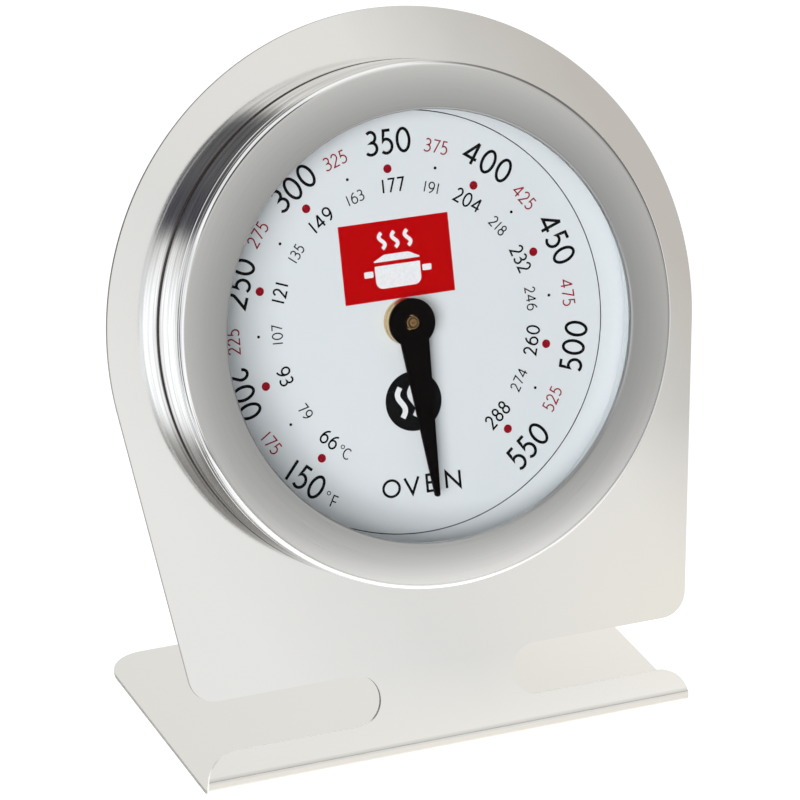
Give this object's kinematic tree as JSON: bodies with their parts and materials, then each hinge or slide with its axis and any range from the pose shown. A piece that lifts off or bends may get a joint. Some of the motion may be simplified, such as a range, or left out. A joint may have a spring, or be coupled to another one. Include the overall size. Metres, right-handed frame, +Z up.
{
  "type": "oven thermometer",
  "caption": "Round bimetal oven thermometer: a dial can with a turning pointer under glass, clamped in a leaning sheet-metal stand that rests on its foot or slots onto rack wires.",
  "frame": {"origin": "on the floor under the middle of the object's bounding box", "axes": "+Z up, +Y from the dial's face towards the back, +X to the viewer's right when facing the dial; the face plate leans back 18.4 degrees"},
  "size_m": [0.0902, 0.046, 0.1031],
  "materials": {
    "satin_stainless": "bright rolled stainless sheet",
    "polished_stainless": "polished",
    "tinplate": "satin",
    "glass": "clear",
    "silicone": "matt",
    "aluminium": "satin",
    "white_enamel": "satin white",
    "black_enamel": "satin black",
    "brass": "turned",
    "steel": "bright",
    "bimetal": "rolled strip"
  },
  "bodies": {
    "case_and_stand": {"stand": "satin_stainless", "case_cup": "tinplate", "bezel_ring": "polished_stainless", "retaining_ring": "tinplate", "lens": "glass", "lens_gasket": "silicone", "spacer_ring": "aluminium", "dial_seat": "aluminium", "dial_plate": "white_enamel", "front_bush": "brass", "rear_bush": "brass", "bridge": "steel", "pillar_left": "steel", "pillar_right": "steel", "bridge_screw_left": "steel", "bridge_screw_right": "steel", "bimetal_coil": "bimetal", "coil_anchor": "steel", "anchor_rivet": "steel"},
    "pointer_arbor": {"arbor": "steel", "pointer": "black_enamel", "pointer_bush": "brass", "arbor_clip": "steel", "coil_collet": "brass", "thrust_washer": "brass"}
  },
  "joints": [
    {"name": "pointer_turn", "type": "hinge", "parent": "case_and_stand", "child": "pointer_arbor", "pos_m": [0, -0.00241, 0.06029], "axis": [0, 0.9489, -0.3156], "range_deg": [-35, 322]}
  ]
}
